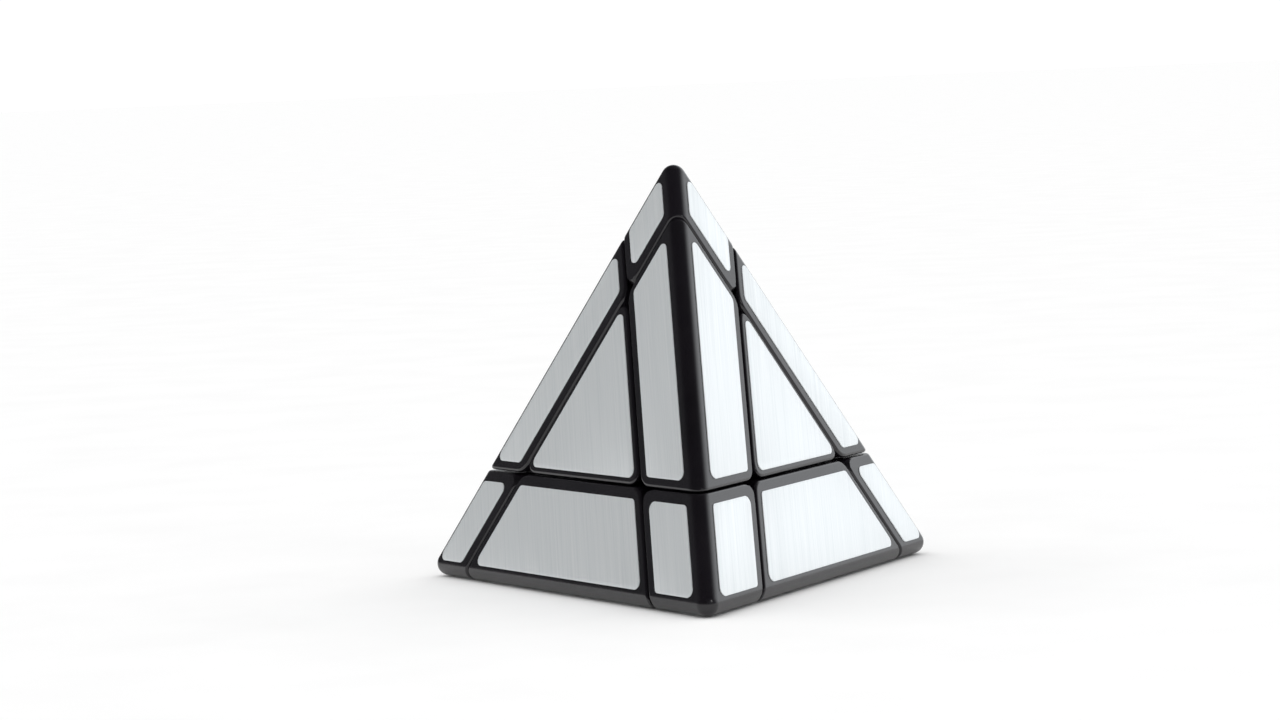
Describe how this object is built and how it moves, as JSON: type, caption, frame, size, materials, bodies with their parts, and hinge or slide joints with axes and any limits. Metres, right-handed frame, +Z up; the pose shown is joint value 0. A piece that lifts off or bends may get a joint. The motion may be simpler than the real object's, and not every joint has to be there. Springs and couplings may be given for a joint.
{
  "type": "pyramid twisty puzzle",
  "caption": "Tetrahedral turning puzzle with one layer per face, each of its own thickness, so that every piece has its own shape under a brushed metallic film.",
  "frame": {"origin": "on the resting plane, under the hub, where the base layer's turning axis meets the underside film", "axes": "+Z up along the base layer's turning axis, -Y towards the front edge and front corner, +X towards the right corner"},
  "size_m": [0.0909, 0.0793, 0.0751],
  "materials": {
    "body_plastic": "glossy black ABS, moulded",
    "inner_plastic": "black ABS, as moulded",
    "core_plastic": "black nylon, as moulded",
    "metallic_film": "brushed metallic film, self-adhesive",
    "steel": "zinc-plated steel"
  },
  "bodies": {
    "base_layer": {"base_left_edge": "body_plastic", "base_left_edge_foot": "inner_plastic", "base_left_edge_film": "metallic_film", "base_right_edge": "body_plastic", "base_right_edge_foot": "inner_plastic", "base_right_edge_film": "metallic_film", "base_back_edge": "body_plastic", "base_back_edge_foot": "inner_plastic", "base_back_edge_film": "metallic_film", "front_corner": "body_plastic", "front_corner_foot": "inner_plastic", "front_corner_film": "metallic_film", "left_corner": "body_plastic", "left_corner_foot": "inner_plastic", "left_corner_film": "metallic_film", "right_corner": "body_plastic", "right_corner_foot": "inner_plastic", "right_corner_film": "metallic_film", "underside_films": "metallic_film"},
    "upper_block": {"core_spider": "core_plastic", "centre_screws": "steel", "spring_washers": "steel", "base_centre_spring": "steel", "left_centre_spring": "steel", "right_centre_spring": "steel", "back_centre_spring": "steel", "left_right_edge": "body_plastic", "left_right_edge_foot": "inner_plastic", "left_right_edge_film": "metallic_film", "left_back_edge": "body_plastic", "left_back_edge_foot": "inner_plastic", "left_back_edge_film": "metallic_film", "right_back_edge": "body_plastic", "right_back_edge_foot": "inner_plastic", "right_back_edge_film": "metallic_film", "top_corner": "body_plastic", "top_corner_foot": "inner_plastic", "top_corner_film": "metallic_film"},
    "base_centre": {"base_centre": "body_plastic", "base_screw_cover": "inner_plastic", "base_centre_film": "metallic_film"},
    "left_centre": {"left_centre": "body_plastic", "left_screw_cover": "inner_plastic", "left_centre_film": "metallic_film"},
    "right_centre": {"right_centre": "body_plastic", "right_screw_cover": "inner_plastic", "right_centre_film": "metallic_film"},
    "back_centre": {"back_centre": "body_plastic", "back_screw_cover": "inner_plastic", "back_centre_film": "metallic_film"}
  },
  "joints": [
    {"name": "base_layer_turn", "type": "hinge", "parent": "base_layer", "child": "upper_block", "pos_m": [0, 0, 0.02385], "axis": [0, 0, 1], "continuous": true},
    {"name": "base_centre_lift", "type": "slide", "parent": "base_layer", "child": "base_centre", "axis": [0, 0, -1], "range_m": [0, 0.0006], "stiffness_N_per_m": 1200, "springref_m": -0.0006, "deforming": ["base_centre_spring"]},
    {"name": "left_centre_lift", "type": "slide", "parent": "upper_block", "child": "left_centre", "axis": [-0.8165, -0.4714, 0.3333], "range_m": [0, 0.0006], "stiffness_N_per_m": 1200, "springref_m": -0.0006, "deforming": ["left_centre_spring"]},
    {"name": "right_centre_lift", "type": "slide", "parent": "upper_block", "child": "right_centre", "axis": [0.8165, -0.4714, 0.3333], "range_m": [0, 0.0006], "stiffness_N_per_m": 1200, "springref_m": -0.0006, "deforming": ["right_centre_spring"]},
    {"name": "back_centre_lift", "type": "slide", "parent": "upper_block", "child": "back_centre", "axis": [0, 0.9428, 0.3333], "range_m": [0, 0.0006], "stiffness_N_per_m": 1200, "springref_m": -0.0006, "deforming": ["back_centre_spring"]}
  ]
}
